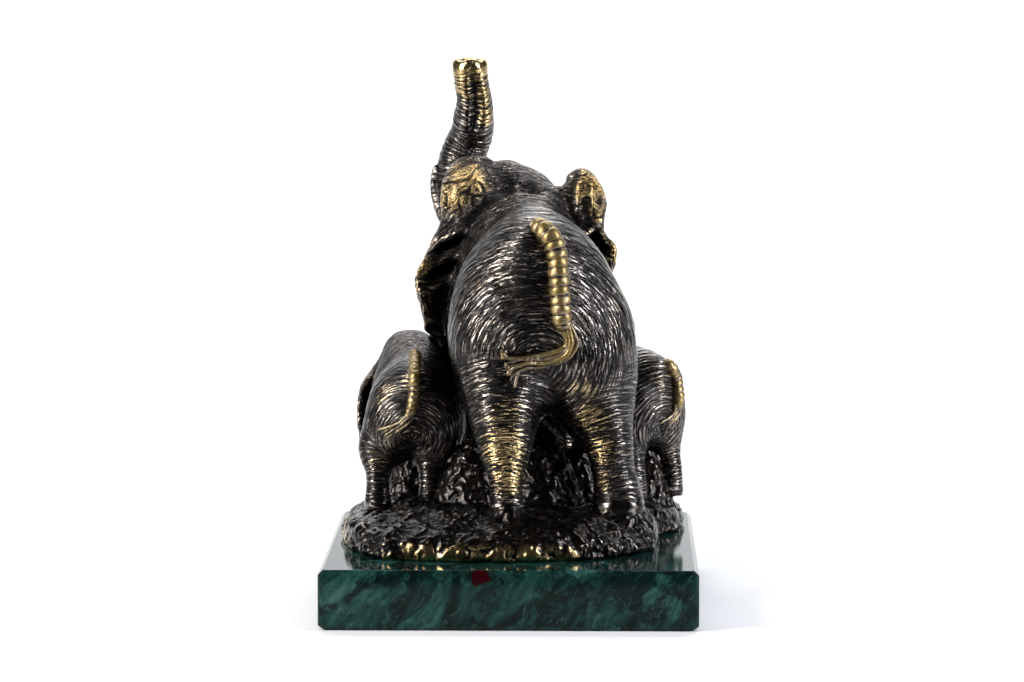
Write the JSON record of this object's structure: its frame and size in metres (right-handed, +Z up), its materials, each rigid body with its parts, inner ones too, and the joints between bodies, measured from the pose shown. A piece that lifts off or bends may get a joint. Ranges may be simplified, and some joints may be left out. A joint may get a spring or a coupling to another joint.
{
  "type": "bronze elephant group sculpture",
  "caption": "Small bronze group of a mother elephant with raised trunk walking between her calves on rough ground, on a polished green marble slab.",
  "frame": {"origin": "middle of the marble slab's underside", "axes": "+Z up, the animals walk towards +Y with their backs to -Y, +X to the right of someone who stands behind them"},
  "size_m": [0.125, 0.14, 0.1839],
  "materials": {
    "bronze": "dark brown patina, worn golden on the raised parts",
    "marble": "polished"
  },
  "bodies": {
    "root": {"bronze_group": "bronze", "marble_plinth": "marble"}
  },
  "joints": []
}
